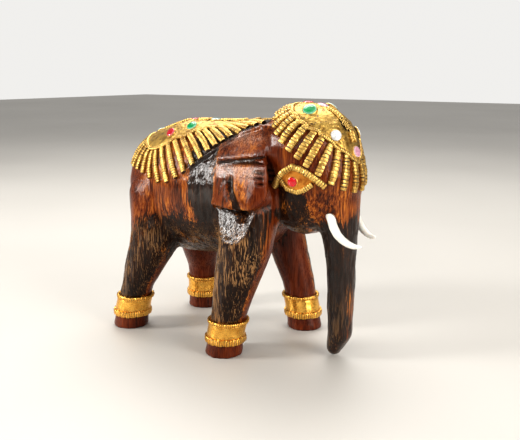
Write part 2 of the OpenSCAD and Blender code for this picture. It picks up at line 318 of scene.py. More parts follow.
# %% The grain group: long streaks, fine pores and brushed flecks
# A streak's scale per metre on X, Y, Z, then its detail, roughness and turn. 760 across the
# grain and 55 along it make streaks about 1.3 mm wide and 18 mm long.
LONG_STREAK = (760, 760, 55), 4.0, 0.62, (0.03, -0.05, 0)
FINE_STREAK = (2200, 2200, 130), 3.0, 0.6, (-0.04, 0.02, 0)
LONG_SHARE = 0.52


def make_grain():
    g, inside, out = new_group(
        "wood_grain",
        [("Warp", 0.5)],
        [("Streak", "NodeSocketFloat"), ("Pore", "NodeSocketFloat"), ("Fleck", "NodeSocketFloat")],
    )
    wave = stretched(g, (90, 90, 30), 2.0)
    long_streak = stretched(g, *LONG_STREAK)
    fine = stretched(g, *FINE_STREAK)
    shift = calc(g, "MULTIPLY", calc(g, "SUBTRACT", wave, 0.5), inside.outputs["Warp"])
    streak = calc(g, "ADD", calc(g, "MULTIPLY", long_streak, LONG_SHARE),
                  calc(g, "MULTIPLY", fine, 1 - LONG_SHARE))
    g.links.new(calc(g, "ADD", streak, shift, clamp=True), out.inputs["Streak"])
    g.links.new(fine, out.inputs["Pore"])
    dab = stretched(g, (2100, 2100, 95), 4.0, 0.6, (0.05, 0.06, 0))
    patch = stretched(g, (150, 150, 50), 2.0, 0.5)
    g.links.new(calc(g, "ADD", dab, calc(g, "MULTIPLY", calc(g, "SUBTRACT", patch, 0.5), 0.5)),
                out.inputs["Fleck"])
    return g


grain = make_grain()

# %% The stains of the wood
def stained(t, streak, pore, fleck):
    """The wood's colour, from its grain and the zones painted on it."""
    amber = ramp(t, streak, [(0.33, (0.014, 0.003, 0.001)), (0.44, (0.078, 0.015, 0.003)),
                             (0.53, (0.245, 0.056, 0.007)), (0.66, (0.60, 0.215, 0.028))])
    cherry = ramp(t, streak, [(0.33, (0.034, 0.005, 0.001)), (0.5, (0.098, 0.014, 0.002)),
                              (0.66, (0.185, 0.035, 0.006))])
    black = ramp(t, streak, [(0.42, (0.006, 0.002, 0.001)), (0.58, (0.024, 0.007, 0.002)),
                             (0.70, (0.095, 0.032, 0.010))])
    tan_fleck, pink_bloom_and_highlight, cut_shade_and_ridge_colour = (0.35, 0.185, 0.075), (0.52, 0.32, 0.22), (0.006, 0.003, 0.002)
    brushed = ramp(t, fleck, [(0.55, NONE), (0.60, FULL)])
    flecked = mix(t, calc(t, "MULTIPLY", brushed, painted(t, "fleck"), clamp=True), black, tan_fleck)
    # The streaks eat into the edge of the burn and of the painted shade in the folds, and only there.
    near_dark = calc(t, "ADD", calc(t, "MULTIPLY", painted(t, "burn_and_fold_shade"), 4.0), 0.3, clamp=True)
    ragged = calc(t, "MULTIPLY", calc(t, "SUBTRACT", streak, 0.5), -2.8)
    edge = calc(t, "ADD", painted(t, "burn_and_fold_shade"), calc(t, "MULTIPLY", ragged, near_dark))
    dark_mask = ramp(t, edge, [(0.30, NONE), (0.62, FULL)])
    colour = mix(t, dark_mask, mix(t, painted(t, "cherry"), amber, cherry), flecked)
    # A pale pink bloom, broken up by the pores, is partly pale worn wood and partly a painted highlight
    # on the ear.
    pore_speckle = ramp(t, pore, [(0.42, NONE), (0.62, FULL)])
    colour = mix(t, calc(t, "MULTIPLY", painted(t, "bloom_and_highlight"), pore_speckle, clamp=True), colour, pink_bloom_and_highlight)
    # The cuts are painted almost black: painted shade at the front end of each fold, in the three nicks
    # and under the ear's lower edge, and a thin dark line along the ridge.
    return mix(t, painted(t, "cut_shade_and_ridge_line"), colour, cut_shade_and_ridge_colour)


# %% The varnished wood material
def make_wood():
    m, t, bsdf = new_material("varnished_wood")
    w = use_group(t, grain, Warp=0.45)
    streak, pore, fleck = (w.outputs[n] for n in ("Streak", "Pore", "Fleck"))
    t.links.new(stained(t, streak, pore, fleck), bsdf.inputs["Base Color"])
    t.links.new(grey_ramp(t, pore, (0.35, 0.22), (0.65, 0.42)), bsdf.inputs["Roughness"])
    leaning = stretched(t, (620, 620, 120), 2.0, 0.5, lean=-0.45)
    chips = calc(t, "MULTIPLY", leaning, painted(t, "chisel"))
    relief = calc(t, "ADD", calc(t, "MULTIPLY", streak, 0.8), calc(t, "MULTIPLY", pore, 0.5))
    relief = calc(t, "ADD", relief, calc(t, "MULTIPLY", chips, 1.6))
    add_bump(t, relief, bsdf.inputs["Normal"], 0.55, 0.35)
    ripple = calc(t, "ADD", calc(t, "MULTIPLY", stretched(t, *LONG_STREAK), LONG_SHARE),
                  calc(t, "MULTIPLY", stretched(t, *FINE_STREAK), 1 - LONG_SHARE))
    varnish = calc(t, "ADD", ripple, calc(t, "MULTIPLY", chips, 1.5))
    add_bump(t, varnish, bsdf.inputs["Coat Normal"], 0.8, 0.35)
    pooled = calc(t, "ADD", calc(t, "MULTIPLY", painted(t, "pooled"), 0.70), 0.28)
    t.links.new(pooled, bsdf.inputs["Coat Weight"])
    bsdf.inputs["Specular IOR Level"].default_value = 0.12
    bsdf.inputs["Specular Tint"].default_value = (1.0, 0.82, 0.68, 1)
    bsdf.inputs["Coat Roughness"].default_value = 0.08
    bsdf.inputs["Coat IOR"].default_value = 1.5
    print(m.name, "has", len(t.nodes), "nodes")
    return m


wood_finish = make_wood()

# %% [markdown]
# ## The carved block
# The CAD body has the right shape, but its round parts are made of flat facets. A voxel
# remesh turns it into one even skin. The round parts are then smoothed and the ears are
# left almost alone, because on the real figure their flat knife cuts are still sharp.

# %% An even skin over the block
SKIN_VOXEL = 0.88
wood = copy_node("carved_body", "elephant_wood")
modify(wood, "REMESH", mode="VOXEL", voxel_size=SKIN_VOXEL * MM, adaptivity=0)
co = points(wood)
x, y, z = co.T
ear = ease(np.abs(y), 18, 21) * between(x, (2, 6), (36, 39)) * between(z, (75, 78), (118, 122))
soles = 1 - ease(z, 2, 5)
tusk_roots = ease(x, 48, 52) * between(z, (66, 70), (78, 82))
trunk_tip = ease(x, 50, 54) * (1 - ease(z, 9, 14))
rump_end = 1 - ease(x, -70, -67)
firm = np.maximum.reduce([0.9 * ear, 0.75 * soles, 0.6 * tusk_roots, 0.5 * trunk_tip, 0.6 * rump_end])
group = wood.vertex_groups.new(name="soft")
soft = np.round((1 - firm) * 10).astype(int)
for level in range(1, 11):
    group.add(np.flatnonzero(soft == level).tolist(), level / 10, "REPLACE")
modify(wood, "SMOOTH", iterations=26, factor=0.5, vertex_group="soft")
modify(wood, "SMOOTH", iterations=2, factor=0.4)
x, y, z = points(wood).T
# A small patch at the front end of the ear's fold is smoothed again, before the fold is cut.
gap = (np.abs(x - 35.2) < 3.2) & (np.abs(z - 101.5) < 6) & (np.abs(y) > 14)
throat = wood.vertex_groups.new(name="throat")
throat.add(np.flatnonzero(gap).tolist(), 1.0, "REPLACE")
modify(wood, "SMOOTH", iterations=60, factor=0.5, vertex_group="throat")
print("skin:", len(wood.data.vertices), "points")

# %% [markdown]
# ## Knife cuts and burnt zones
# The cuts on the ears run the same way on both sides, so a cut is a line in side view with
# a width and a depth, pressed into whatever faces outwards along it. A negative depth
# raises a ridge. The burnt and stained zones are soft shapes in the same side view.

# %% Lines and zones in side view
co, no = points(wood), normals(wood)
x, y, z = co.T
side = np.sign(y)
facing = no[:, 1] * side
outer = ease(np.abs(y), 10, 14) * ease(facing, 0.05, 0.35)


def reach(line):
    """Each point's distance to a line in side view, and its share of the way along it."""
    p = np.stack([x, z], 1)
    best, share = np.full(len(p), 1e9), np.zeros(len(p))
    steps = np.linalg.norm(np.diff(np.array(line, float), axis=0), axis=1)
    done = 0.0
    for a, b, length in zip(np.array(line[:-1], float), np.array(line[1:], float), steps):
        t = np.clip(((p - a) @ (b - a)) / length**2, 0, 1)
        d = np.linalg.norm(p - (a + t[:, None] * (b - a)), axis=1)
        near = d < best
        best = np.where(near, d, best)
        share = np.where(near, (done + t * length) / steps.sum(), share)
        done += length
    return best, share


def cut(line, width, depth, thin_start=1.0):
    """Presses a V along a line. The cut is thinner at its start by thin_start."""
    d, share = reach(line)
    w = width * (thin_start + (1 - thin_start) * share)
    v = np.clip(1 - d / w, 0, 1) * outer
    moved[:] -= no * (depth * v * (thin_start + (1 - thin_start) * share))[:, None]
    return v


def zone(cx, cz, rx, rz, edge=0.35):
    """A soft ellipse in side view: 1 inside, 0 outside."""
    r = np.sqrt(((x - cx) / rx) ** 2 + ((z - cz) / rz) ** 2)
    return 1 - ease(r, 1 - edge, 1 + edge)


# %% The ridge and the long fold of each ear
moved = np.zeros_like(co)
ridge_line = [(-17, 93), (-9, 99.5), (-0.5, 105.6), (6, 110.3), (17.5, 115.4), (27, 118.6)]
ridge = cut(ridge_line, 1.5, -1.0)
cut([(px + 0.9, pz - 1.6) for px, pz in ridge_line], 1.3, 0.6)
cut([(px - 1.1, pz + 1.8) for px, pz in ridge_line], 1.5, 0.7)
along = np.clip((x - 5.5) / 31.5, 0, 1)
sill, lintel = 99.5 + 1.6 * along, 100.5 + 4.6 * along
fold = ease(z - sill, -0.5, 0.4) * ease(lintel - z, -0.4, 0.4) * ease(x, 5, 7) * ease(-x, -36.5, -34.5)
fold *= outer * ease(np.abs(y), 24.5, 26.5)
fold_depth = fold * (0.9 + 2.2 * along)
moved[:, 1] -= side * fold_depth
print("deepest point of the folds in mm:", round(float(fold_depth.max()), 1))

# %% [markdown]
# Under each ear the shoulder is shaved to a flat facet, as one long stroke of a knife
# leaves it. Whatever stands out past a leaning plane is cut back to the plane.

# %% The shaved shoulders
lean = 0.42 * (z - 72) - 0.05 * (x - 20)
shoulder = ease(z, 61, 66) * ease(-z, -79, -78) * ease(x, 0, 4) * ease(-x, -38, -34) * outer
level = np.percentile((np.abs(y) + lean)[shoulder > 0.9], 52)
shaved = shoulder * np.clip(np.abs(y) + lean - level, 0, 6)
moved[:, 1] -= side * shaved
print("deepest shave under the ears in mm:", round(float(shaved.max()), 1))

# %% The valley, the nicks and the edge of each ear
band = np.clip((z - 93.5) / 6, 0, 1) * ease(sill - z, -0.2, 0.4) * ease(x, 6, 8) * ease(-x, -36, -34)
moved[:, 1] -= side * band * outer * 1.3
valley = cut([(16.8, 92.5), (19.5, 87), (23.2, 80), (25, 76)], 4.4, 3.0, 0.6)
nicks = np.maximum.reduce([
    cut([(29.5, 97.6), (35.2, 97.0)], 1.2, 1.7, 0.3),
    cut([(30.5, 94.9), (35.6, 94.4)], 1.2, 1.7, 0.3),
    cut([(32.0, 92.3), (36.0, 91.9)], 1.1, 1.4, 0.3),
])
under = cut([(6, 78.2), (18, 77.3), (31, 77.6), (35.5, 80.5)], 1.6, 0.9)
cut([(5.4, 98), (5.8, 89), (6.4, 79.5)], 1.6, 0.9)
co = co + moved
put_points(wood, co)
print("deepest cut in mm:", round(float(np.linalg.norm(moved, axis=1).max()), 2))

# %% [markdown]
# ## The stains
# Each stain is a number from 0 to 1 at every point, and the strongest of its zones wins.
# The burn comes first, then the red, and the dark band over the ridge of the ear last. The
# burn also holds painted shade in the fold of each ear.

# %% Where the wood is burnt, and the painted shade in the fold of each ear
co, no = points(wood), normals(wood)
x, y, z = co.T
facing = no[:, 1] * side
leg = np.where(x > 2, ease(-z, -79, -76), ease(-z, -68, -54)) * ease(z, 17, 21)
drift = rough(co, (2.2, 2.2, 12), 5.9, 3)
trunk = ease(x, 48, 52) * ease(-z - 7 * drift, -78, -69)
burn_and_fold_shade = np.maximum.reduce([
    # The outer faces of the legs, and the trunk, which is paler low down on its front.
    0.97 * leg * ease(facing, 0.05, 0.45) * np.where(x < 48, 1, 0),
    0.98 * trunk * (1 - 0.45 * ease(no[:, 0], 0.75, 0.95) * ease(-z, -50, -20)),
    # The cheek round the tusk, and the shoulder behind the ear.
    0.85 * zone(44, 80, 11, 13, 0.2) * ease(-x, -56, -53) * ease(facing, 0, 0.3),
    zone(-4, 88, 10, 22, 0.35) * ease(facing, -0.2, 0.2) * ease(-x, -5.5, -4),
    # The belly, the valley of the ear, and the shaved shoulder.
    0.9 * ease(-z, -76, -62) * zone(-20, 58, 34, 20, 0.3),
    0.9 * valley,
    0.9 * zone(15, 68, 20, 12, 0.3) * outer * ease(-z, -78.5, -77),
    # The rear of the ear, the painted shade in its fold, and the top of the back.
    0.6 * ease(-x, -17, -12) * zone(10, 87, 9, 9, 0.3) * outer,
    0.8 * fold,
    0.75 * ease(z, 112, 117) * ease(-x, -30, -24),
])
# The face of the ear is cleared again, apart from its valley and its lower edge.
burn_and_fold_shade *= 1 - 0.9 * ear * (1 - np.maximum(valley, under)) * ease(z, 78, 80)
burn_and_fold_shade = np.maximum(burn_and_fold_shade, ease(valley, 0.25, 0.65))
burn_and_fold_shade = np.maximum(burn_and_fold_shade, 0.22 * zone(11.5, 86.5, 6.5, 8, 0.4) * outer * ear)

# %% Where it is red, and the dark band over each ear
cherry = np.maximum.reduce([
    # The other faces of the legs, the feet and the rump.
    ease(-facing, -0.35, 0.1) * ease(-z, -72, -60),
    ease(-z, -20, -16),
    0.85 * ease(-x, 28, 58) * ease(z, 50, 60),
    # The front edge of the ear and the head, then three softer patches on the ear.
    zone(35.5, 95, 4.5, 26, 0.4),
    0.75 * zone(52, 108, 26, 16, 0.3),
    0.8 * zone(12, 88, 7, 9, 0.4),
    0.7 * zone(31.5, 84, 3.6, 9, 0.4) * outer,
    0.5 * zone(22, 110, 16, 9, 0.5),
])
over_ridge = z - np.interp(x, *np.array(ridge_line).T)
above = ease(over_ridge, -0.2, 1.0) * ease(x, -20, -14) * ease(-x, -29, -25)
above *= ease(np.abs(y), 2, 8) * ease(facing, -0.1, 0.1)
burn_and_fold_shade = np.maximum(burn_and_fold_shade, 0.98 * above)
print("mean burn and red:", round(float(burn_and_fold_shade.mean()), 2), round(float(cherry.mean()), 2))

# %% [markdown]
# ## Tool marks
# A gouge leaves short upright strokes in the burnt wood, and sanding leaves slight dips all
# over. Both are noise that pushes the points along their normals. The soles stay flat, and
# nothing may leave the CAD box.

# %% Strokes and dips
strokes = rough(co, (1.7, 1.7, 11), 3.1, 3)
dips = rough(co, (9, 9, 14), 7.7, 2)
still = 1 - ease(-z, -3, -0.8)
mane = zone(-5, 86, 12, 20, 0.4) * burn_and_fold_shade * (1 - above)
push = strokes * (0.08 + 0.30 * burn_and_fold_shade * leg * ease(z, 18, 24) + 0.08 * burn_and_fold_shade + 0.35 * mane)
push = (push + 0.22 * dips - 0.12) * still
co = co + no * push[:, None]
low, high = in_mm(cad_box)
co = np.clip(co, low + 0.02, high - 0.02)
put_points(wood, co)
print("strokes and dips in mm:", round(float(push.min()), 2), "to", round(float(push.max()), 2))

# %% The numbers that the wood material reads
paint(wood, "burn_and_fold_shade", burn_and_fold_shade)
paint(wood, "cherry", cherry)
paint(wood, "fleck", leg * ease(facing, 0.1, 0.5) * ease(-z, -74, -62) * np.where(
    x > 48, 0.0, np.where(x > 2, 0.9, 0.6)) * (0.6 + 0.4 * ease(z, 22, 50))
    + 0.28 * trunk * ease(-z, -45, -12)
    + 0.3 * zone(10, 87, 8, 8, 0.3) * ear)
facet = ease(shaved, 0.15, 0.9) * ease(-z, -78.8, -78)
paint(wood, "chisel", np.maximum(facet, 0.9 * mane * ease(z, 72, 82)))
paint(wood, "pooled", np.maximum.reduce([
    facet, mane * ease(z, 76, 84), 0.45 * trunk, 0.6 * ear * ease(z, 92, 95), 0.35 * ridge]))
# Partly pale bloom and partly painted highlight: the band under each ear's fold and the top of each ear
# are paled.
paint(wood, "bloom_and_highlight", np.maximum.reduce([
    0.6 * zone(19, 97.0, 15, 3.4, 0.5) * outer * (1 - fold),
    0.45 * zone(16, 112.5, 14, 3.0, 0.6) * outer * (1 - above),
]))
# Painted shade in the cuts: the front end of each fold, the three nicks and the undercut below the ear
# are painted almost black, and the ridge gets a thin dark line.
paint(wood, "cut_shade_and_ridge_line", np.maximum.reduce([0.9 * fold * ease(-x, -35, -33), nicks, 0.7 * under,
                                       0.35 * ridge]))
finish(wood, wood_finish, "lacquered_wood", "carved_body", angle=60)
skin = BVHTree.FromObject(wood, bpy.context.evaluated_depsgraph_get())

# %% [markdown]
# ## Gold paste
# The gold is a paste laid on by hand, painted gold, and rubbed with a dark wash that stays
# in every groove. The wash and shade group turns a painted groove number and some noise
# into one mask, and the gold material uses it for colour and for metal.
# The same mask also paints shade into the rib grooves, under the rolls, grains and loops, beside the
# anklet rims and under the flower.

# %% The wash and shade group and the gold material
def make_wash_and_shade():
    g, inside, out = new_group(
        "dark_wash_and_shade", [("Groove", 0.0), ("Spread", 0.5)], [("Wash_And_Shade", "NodeSocketFloat")]
    )
    patch = stretched(g, (420, 420, 420), 3.0, 0.6)
    broken = calc(g, "ADD", inside.outputs["Groove"], calc(g, "MULTIPLY",
                  calc(g, "SUBTRACT", patch, 0.5), inside.outputs["Spread"]))
    mask = ramp(g, broken, [(0.36, NONE), (0.72, FULL)])
    g.links.new(mask, out.inputs["Wash_And_Shade"])
    return g


wash_and_shade_group = make_wash_and_shade()


def make_gold(name, bright, deep, spread=0.7, grit=0.5, shine=(0.30, 0.52)):
    m, t, bsdf = new_material(name)
    wash_and_shade_mask = use_group(t, wash_and_shade_group, Groove=painted(t, "wash_and_shade"), Spread=spread).outputs["Wash_And_Shade"]
    cloud = stretched(t, (260, 260, 260), 3.0, 0.65)
    gold = ramp(t, cloud, [(0.32, deep), (0.52, bright), (0.74, tuple(min(1, c * 1.25) for c in bright))])
    # The dark brown is partly a real wash and partly painted shade: in the rib grooves, under the rolls,
    # grains and loops, beside the anklet rims and under the flower.
    colour = mix(t, wash_and_shade_mask, gold, (0.030, 0.013, 0.005))
    t.links.new(colour, bsdf.inputs["Base Color"])
    t.links.new(calc(t, "SUBTRACT", 0.92, calc(t, "MULTIPLY", wash_and_shade_mask, 0.85)), bsdf.inputs["Metallic"])
    fine = stretched(t, (2600, 2600, 2600), 3.0, 0.6)
    t.links.new(grey_ramp(t, fine, (0.3, shine[0]), (0.7, shine[1])), bsdf.inputs["Roughness"])
    lumps = stretched(t, (900, 900, 900), 3.0, 0.6)
    relief = calc(t, "ADD", lumps, calc(t, "MULTIPLY", fine, 0.35))
    add_bump(t, relief, bsdf.inputs["Normal"], grit, 0.18)
    print(m.name, "has", len(t.nodes), "nodes")
    return m


gold = make_gold("gold_paste", (0.70, 0.46, 0.135), (0.40, 0.21, 0.045), 0.85)
plate_gold = make_gold("worn_gold_plate", (0.54, 0.345, 0.09), (0.26, 0.13, 0.025), 1.15, 0.8)
band_gold = make_gold("anklet_gold", (0.84, 0.45, 0.09), (0.68, 0.32, 0.05), 0.35, 0.15, (0.22, 0.34))
amber_gold = make_gold("amber_gold_paste", (0.56, 0.23, 0.04), (0.30, 0.09, 0.015), 0.5)

# %% [markdown]
# ## One rib, and rolls of ribs
# The fringe bars, the plate edges and the rims of the anklets are all rolls of paste with
# the same pressed ribs. One rib is modelled from a short open cylinder: its length is
# subdivided and its end rings are drawn in. An array joins ribs into a roll, and each copy
# of a roll is bent in code along its own line, which is laid on the carved wood.

# %% The rib and the straight roll
def choose(piece, test):
    """Selects the vertices that pass the test, and nothing else."""
    for parts in (piece.data.polygons, piece.data.edges):
        parts.foreach_set("select", [False] * len(parts))
    piece.data.vertices.foreach_set("select", [bool(test(v.co / MM)) for v in piece.data.vertices])


def edit_chosen(piece, test, *steps):
    choose(piece, test)
    pick(piece)
    bpy.ops.object.mode_set(mode="EDIT")
    bpy.ops.mesh.select_mode(type="VERT")
    for step in steps:
        step()
    bpy.ops.object.mode_set(mode="OBJECT")


def make_rib(sides=10):
    bpy.ops.object.select_all(action="DESELECT")
    bpy.ops.mesh.primitive_cylinder_add(vertices=sides, radius=MM, depth=MM, end_fill_type="NOTHING")
    rib = bpy.context.object
    edit(rib, lambda: bpy.ops.transform.rotate(value=math.pi / 2, orient_axis="Y",
                                               center_override=(0, 0, 0)),
         lambda: bpy.ops.transform.translate(value=(0.5 * MM, 0, 0)))
    pick(rib)
    bpy.ops.object.mode_set(mode="EDIT")
    for cut_at in (0.2, 0.5, 0.8):
        bpy.ops.mesh.select_all(action="SELECT")
        bpy.ops.mesh.bisect(plane_co=(cut_at * MM, 0, 0), plane_no=(1, 0, 0))
    bpy.ops.object.mode_set(mode="OBJECT")
    edit_chosen(rib, lambda c: abs(c.x - 0.5) > 0.45,
                lambda: bpy.ops.transform.resize(value=(1, 0.91, 0.76), center_override=(0, 0, 0)))
    edit_chosen(rib, lambda c: 0.15 < abs(c.x - 0.5) < 0.45,
                lambda: bpy.ops.transform.resize(value=(1, 0.985, 0.97), center_override=(0, 0, 0)))
    c = points(rib)
    c[:, 1:] = np.sign(c[:, 1:]) * np.abs(c[:, 1:]) ** 0.6
    put_points(rib, c)
    return rib


rib = make_rib()
rolls = {}


def roll(count, closed):
    """A straight roll of ribs, 1 mm a rib, made once for each length."""
    if (count, closed) not in rolls:
        piece = twin(rib)
        modify(piece, "ARRAY", count=count, relative_offset_displace=(1, 0, 0),
               use_merge_vertices=True, merge_threshold=0.02 * MM)
        if not closed:
            edit(piece, lambda: bpy.ops.mesh.select_all(action="DESELECT"),
                 lambda: bpy.ops.mesh.select_non_manifold(),
                 lambda: bpy.ops.mesh.fill_holes(sides=0))
        edit(piece, outwards)
        u = points(piece)[:, 0]
        # Each rib's groove is darkened, as a dark wash that also stands for the groove's painted shade.
        wash_and_shade = 1 - ease(np.abs(u - np.round(u)), 0.02, 0.22)
        paint(piece, "wash_and_shade", wash_and_shade)
        rolls[count, closed] = piece
    return rolls[count, closed]


def unit(v):
    return v / np.maximum(np.linalg.norm(v, axis=-1, keepdims=True), 1e-9)


def lay(path, ups, half_width, half_height, pitch, closed=False, taper=0.0, wear=0.0):
    """A bent copy of a roll along a path, in mm, with its top along ups."""
    line = np.vstack([path, path[:1]]) if closed else path
    up = np.vstack([ups, ups[:1]]) if closed else ups
    along = np.r_[0, np.cumsum(np.linalg.norm(np.diff(line, axis=0), axis=1))]
    count = max(3, round(along[-1] / pitch))
    piece = twin(roll(count, closed))
    c = points(piece)
    s = c[:, 0] / count * along[-1]

    def at(values):
        return np.stack([np.interp(s, along, values[:, i]) for i in range(3)], 1)

    ahead = np.gradient(line, axis=0)
    if closed:
        ahead[0] = ahead[-1] = line[1] - line[-2]
    tangent, top = unit(at(ahead)), at(up)
    across = unit(np.cross(top, tangent))
    top = unit(np.cross(tangent, across))
    size = 1 - taper * np.abs(2 * c[:, 0] / count - 1) ** 3
    wobble = 1 + 0.07 * np.sin(2.1 * np.floor(c[:, 0] + 0.5) + along[-1] * 9)
    new = at(line) + (across * (c[:, 1] * half_width * size * wobble)[:, None]
                      + top * (c[:, 2] * half_height * size * wobble)[:, None])
    put_points(piece, new)
    if closed:
        edit(piece, merge_doubles(0.05 * MM))
    else:
        # Painted shade: the lower half of each bar, towards the wood, is darkened. The rib grooves are
        # darkened as wash and painted shade, and the cut ends as dark paint.
        base = 0.85 * ease(-c[:, 2], -0.2, 0.45)
        tip = np.where((c[:, 0] < 0.05) | (c[:, 0] > count - 0.05), 1, 0)
        u = c[:, 0]
        rib_line = 1 - ease(np.abs(u - np.round(u)), 0.04, 0.30)
        depth = 0.74 + 0.16 * np.sin(5.3 * np.round(u) + along[-1] * 5)
        paint(piece, "wash_and_shade", np.maximum.reduce([depth * rib_line, base, 0.35 * tip]) + wear)
    return piece


def join(pieces, name):
    pick(pieces[0])
    for p in pieces:
        p.select_set(True)
    if len(pieces) > 1:
        bpy.ops.object.join()
    pieces[0].name = pieces[0].data.name = name
    return pieces[0]


def onto_wood(path, lift, spread=2):
    """The path laid on the wood, and the smoothed way up at each point."""
    spots, ups = [], []
    for p in path:
        place, up, _, _ = skin.find_nearest(Vector(p * MM))
        spots.append(np.array(place) / MM)
        ups.append(np.array(up))
    spots, ups = np.array(spots), np.array(ups)
    n = len(path)
    near = [[max(0, min(n - 1, i + k)) for k in range(-spread, spread + 1)] for i in range(n)]
    ups = unit(np.array([ups[k].mean(0) for k in near]))
    spots = np.array([spots[k[1:-1]].mean(0) if 0 < i < n - 1 else spots[i]
                      for i, k in enumerate(near)])
    return spots + ups * lift, ups


# %% [markdown]
# ## The two fringes
# Each fringe is a row of separate rolls, fanned out from under the edge of a plate. The
# CAD has each bar as a plain solid, so the loose parts of a fringe node are taken one by
# one, the line through each is found, and a roll is bent along it.

# %% Take the loose parts of a node
def islands(node_name):
    piece = copy_node(node_name, "loose_parts")
    c = points(piece)
    edges = np.array([e.vertices[:] for e in piece.data.edges])
    label = np.arange(len(c))
    while True:
        lowest = np.minimum(label[edges[:, 0]], label[edges[:, 1]])
        new = label.copy()
        np.minimum.at(new, edges[:, 0], lowest)
        np.minimum.at(new, edges[:, 1], lowest)
        if (new == label).all():
            break
        label = new
    bpy.data.objects.remove(piece)
    return [c[label == k] for k in np.unique(label)]


def bar_line(c, samples=14):
    """The line through a two-part bar, from one end to the other."""
    centre = c.mean(0)
    axis = np.linalg.svd(c - centre)[2][0]
    t = (c - centre) @ axis
    t = (t - t.min()) / (t.max() - t.min())
    stops = [c[t < 0.2].mean(0), c[np.abs(t - 0.5) < 0.2].mean(0), c[t > 0.8].mean(0)]
    places = [t[t < 0.2].mean(), 0.5, t[t > 0.8].mean()]
    u = np.linspace(0.015, 0.985, samples)
    line = np.stack([np.interp(u, places, [s[i] for s in stops]) for i in range(3)], 1)
    for k, (a, b) in ((0, (0, 1)), (-1, (2, 1))):
        slope = (stops[a] - stops[b]) / (places[a] - places[b])
        late = u < places[0] if k == 0 else u > places[2]
        line[late] = stops[a] + (u[late] - places[a])[:, None] * slope
    return line


# %% The saddle fringe and the headdress fringe
def fringe(node_name, half_width, half_height, pitch):
    bars = []
    for c in islands(node_name):
        path, ups = onto_wood(bar_line(c), 0.35 * half_height)
        bars.append(lay(path, ups, half_width, half_height, pitch, taper=0.12,
                        wear=rng.uniform(-0.05, 0.12)))
    print(f"{node_name}: {len(bars)} bars")
    return finish(join(bars, node_name + "_rolls"), gold, "gold_paste", node_name, angle=50)


for hand in ("right", "left"):
    fringe("saddle_fringe_" + hand, 1.60, 1.25, 1.4)
    fringe("headdress_fringe_" + hand, 1.85, 1.35, 1.75)

# %% [markdown]
# ## Rolls that run round an edge
# The plates, the eyes and the anklets are edged with the same rolls, closed into a ring or
# laid along a curve. The CAD cord gives the line: its points are averaged by their angle
# about the middle of a ring, or by their place along X for the curves over an eye.

# %% Lines from the CAD cords
def ring_line(node_name, axis, samples=72, blur=3.0):
    c = points(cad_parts[node_name])
    lo, hi = c.min(0), c.max(0)
    centre = (lo + hi) / 2
    axis = unit(np.array(axis, float))
    e1 = unit(np.cross(axis, [0.0, 1.0, 0.0]))
    e2 = np.cross(axis, e1)
    angle = np.arctan2((c - centre) @ e2, (c - centre) @ e1)
    line = []
    for a in np.linspace(-math.pi, math.pi, samples, endpoint=False):
        gap = np.abs((angle - a + math.pi) % (2 * math.pi) - math.pi)
        w = np.exp(-((gap / math.radians(blur)) ** 2)) + 1e-12
        line.append((c * w[:, None]).sum(0) / w.sum())
    return np.array(line), centre


def span_line(node_name, samples=26, blur=0.9):
    c = points(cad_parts[node_name])
    line = []
    for a in np.linspace(c[:, 0].min() + 0.7, c[:, 0].max() - 0.7, samples):
        w = np.exp(-(((c[:, 0] - a) / blur) ** 2)) + 1e-12
        line.append((c * w[:, None]).sum(0) / w.sum())
    return np.array(line)


# %% Edge rolls of the two plates, and the rolls round the eyes
for node_name, axis in (("saddle_edge_cord", (0, 0, 1)), ("headdress_edge_cord", (0.64, 0, 0.77))):
    line, _ = ring_line(node_name, axis, 90, 3.0)
    path, ups = onto_wood(line, 0.85)
    finish(join([lay(path, ups, 0.95, 0.95, 1.05, closed=True)], node_name + "_roll"),
           gold, "gold_paste", node_name, angle=50)

for hand in ("right", "left"):
    for node_name, half, pitch in (("eye_brow_cord_" + hand, 1.65, 1.25),
                                   ("eye_lower_cord_" + hand, 1.30, 1.15)):
        path, ups = onto_wood(span_line(node_name), 0.65)
        finish(join([lay(path, ups, half, half, pitch)], node_name + "_roll"),
               gold, "gold_paste", node_name, angle=50)

# %% [markdown]
# ## Anklets
# Each anklet is a smooth band of gold between two ribbed rims. The band is the CAD band
# with a fine skin, dented a little as hand-laid paste is. The rims are closed rolls.

# %% Skins of paste
def paste(node_name, voxel, smooth, lumps, size):
    """An even skin over a CAD node, with soft lumps of this height and size in mm."""
    piece = copy_node(node_name, node_name + "_paste")
    modify(piece, "REMESH", mode="VOXEL", voxel_size=voxel * MM, adaptivity=0)
    modify(piece, "SMOOTH", iterations=smooth, factor=0.5)
    c, n = points(piece), normals(piece)
    c = c + n * (lumps * rough(c, (size, size, size), 5.5, 3))[:, None]
    lo, hi = in_mm(cad_box)
    put_points(piece, np.clip(c, lo, hi))
    return piece


for foot in ("front_right", "front_left", "rear_right", "rear_left"):
    band = paste(foot + "_anklet_band", 0.42, 6, 0.10, 4.0)
    c = points(band)
    lo, hi = c[:, 2].min(), c[:, 2].max()
    # Painted shade: the band is darkened beside its two rims.
    under_rims = 0.42 * (1 - ease(c[:, 2] - lo, 1.6, 2.8)) + 0.4 * ease(c[:, 2], hi - 2.0, hi - 1.2)
    paint(band, "wash_and_shade", under_rims)
    finish(band, band_gold, "gold_paste", foot + "_anklet_band", angle=60)
    for rim, half, pitch in (("upper", 0.95, 1.05), ("lower", 1.75, 1.25)):
        node_name = f"{foot}_anklet_{rim}_cord"
        line, centre = ring_line(node_name, (0, 0, 1), 60, 6.0)
        ups = unit((line - centre) * [1, 1, 0])
        finish(join([lay(line, ups, half, 0.85, pitch, closed=True)], node_name + "_roll"),
               band_gold, "gold_paste", node_name, angle=50)

